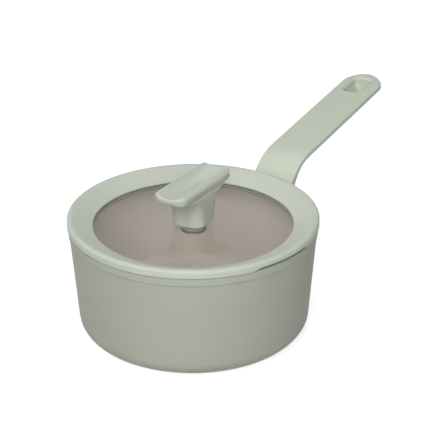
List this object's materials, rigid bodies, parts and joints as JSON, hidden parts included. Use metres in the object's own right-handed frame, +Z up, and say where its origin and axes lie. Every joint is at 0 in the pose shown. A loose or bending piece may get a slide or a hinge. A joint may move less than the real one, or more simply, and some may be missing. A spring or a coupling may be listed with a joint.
{
  "type": "saucepan with glass lid",
  "caption": "Round saucepan with a tapered wall, a long raised handle with a hanging hole, and a lift-off glass lid with a silicone rim and a tray-shaped knob.",
  "frame": {"origin": "centre of the pan's underside, on the surface it stands on", "axes": "+Z up along the pan's axis, +X along the handle"},
  "size_m": [0.3482, 0.169, 0.1067],
  "materials": {
    "pan_coating": "satin sage coating on cast aluminium",
    "base_steel": "turned steel disc",
    "bracket_steel": "satin",
    "handle_plastic": "soft matte",
    "knob_plastic": "soft matte",
    "rim_silicone": "matte silicone",
    "washer_silicone": "translucent silicone",
    "lid_glass": "clear tempered glass",
    "insert_brass": "machined",
    "screw_steel": "bright zinc"
  },
  "bodies": {
    "pan": {"pan_body": "pan_coating", "induction_base": "base_steel", "handle_bracket": "bracket_steel", "handle_grip": "handle_plastic", "handle_screw": "screw_steel", "handle_washer": "screw_steel"},
    "lid": {"lid_rim": "rim_silicone", "lid_glass": "lid_glass", "lid_knob": "knob_plastic", "knob_insert": "insert_brass", "knob_washer": "washer_silicone", "under_glass_washer": "washer_silicone", "steel_washer": "screw_steel", "lid_screw": "screw_steel"}
  },
  "joints": [
    {"name": "lid_lift", "type": "slide", "parent": "pan", "child": "lid", "axis": [0, 0, 1], "range_m": [0, 0.12]}
  ]
}
